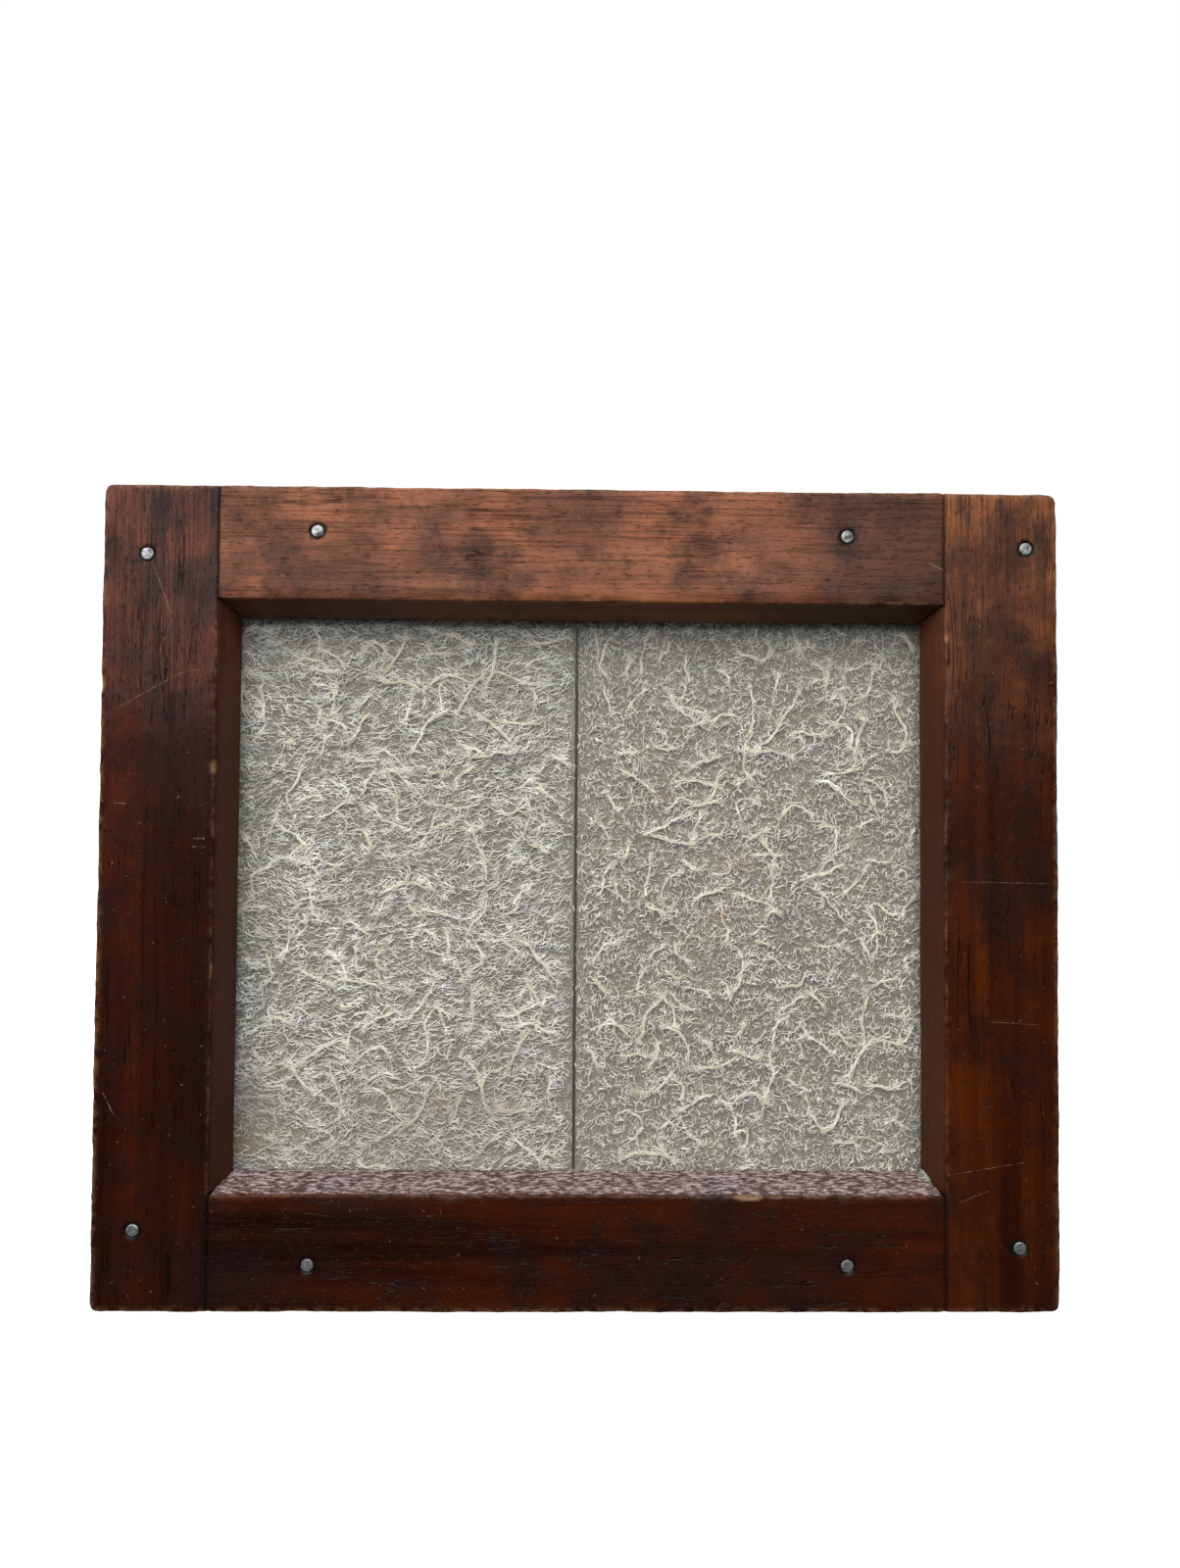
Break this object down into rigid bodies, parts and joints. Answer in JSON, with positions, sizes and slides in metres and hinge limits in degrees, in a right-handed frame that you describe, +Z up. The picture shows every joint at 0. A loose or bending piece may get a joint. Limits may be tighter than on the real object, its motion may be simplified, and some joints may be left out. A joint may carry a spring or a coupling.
{
  "type": "contact printing frame",
  "caption": "Dark stained wooden frame with a bevelled window, glass plate and hinged two-leaf back lined with napped cloth and pressed shut by bow springs.",
  "frame": {"origin": "bottom centre of the whole object's bounding box, under the bottom rail", "axes": "+X right seen from the front, +Y towards the sprung back, +Z up the stiles; the front face looks along -Y"},
  "size_m": [0.165, 0.024, 0.141],
  "materials": {
    "frame_wood": "dark stained, worn, satin",
    "back_wood": "dark stained, dull",
    "glass": "clear, polished",
    "cloth": "long napped off-white cotton",
    "nail_steel": "dulled",
    "catch_steel": "dull plated, slightly rusted",
    "spring_steel": "satin, spring tempered",
    "brass": "tarnished satin",
    "pin_steel": "drawn wire"
  },
  "bodies": {
    "frame": {"top_rail": "frame_wood", "bottom_rail": "frame_wood", "left_stile": "frame_wood", "right_stile": "frame_wood", "corner_nails": "nail_steel", "catch_rivets": "nail_steel", "catch_brads": "nail_steel", "left_upper_catch": "catch_steel", "left_lower_catch": "catch_steel", "right_upper_catch": "catch_steel", "right_lower_catch": "catch_steel", "glass": "glass"},
    "hinge_pins": {"upper_hinge_pin": "pin_steel", "lower_hinge_pin": "pin_steel"},
    "left_leaf": {"left_back_board": "back_wood", "left_felt": "cloth", "left_spring_rivet": "brass", "left_spring_washer": "brass", "left_upper_hinge_plate": "brass", "left_lower_hinge_plate": "brass", "left_hinge_screws": "brass"},
    "right_leaf": {"right_back_board": "back_wood", "right_felt": "cloth", "right_spring_rivet": "brass", "right_spring_washer": "brass", "right_upper_hinge_plate": "brass", "right_lower_hinge_plate": "brass", "right_hinge_screws": "brass"},
    "left_spring": {"left_bow_spring": "spring_steel"},
    "right_spring": {"right_bow_spring": "spring_steel"}
  },
  "joints": [
    {"name": "back_lift", "type": "slide", "parent": "frame", "child": "hinge_pins", "axis": [0, 1, 0], "range_m": [0, 0.04]},
    {"name": "left_leaf_hinge", "type": "hinge", "parent": "hinge_pins", "child": "left_leaf", "pos_m": [-0.0009, 0.0066, 0.0705], "axis": [0, 0, -1], "range_deg": [0, 60]},
    {"name": "right_leaf_hinge", "type": "hinge", "parent": "hinge_pins", "child": "right_leaf", "pos_m": [-0.0009, 0.0066, 0.0705], "axis": [0, 0, 1], "range_deg": [0, 60]},
    {"name": "left_spring_swivel", "type": "hinge", "parent": "left_leaf", "child": "left_spring", "pos_m": [-0.03238, 0.006, 0.0705], "axis": [0, 1, 0], "range_deg": [-25, 25]},
    {"name": "right_spring_swivel", "type": "hinge", "parent": "right_leaf", "child": "right_spring", "pos_m": [0.03148, 0.006, 0.0705], "axis": [0, 1, 0], "range_deg": [-25, 25]}
  ]
}
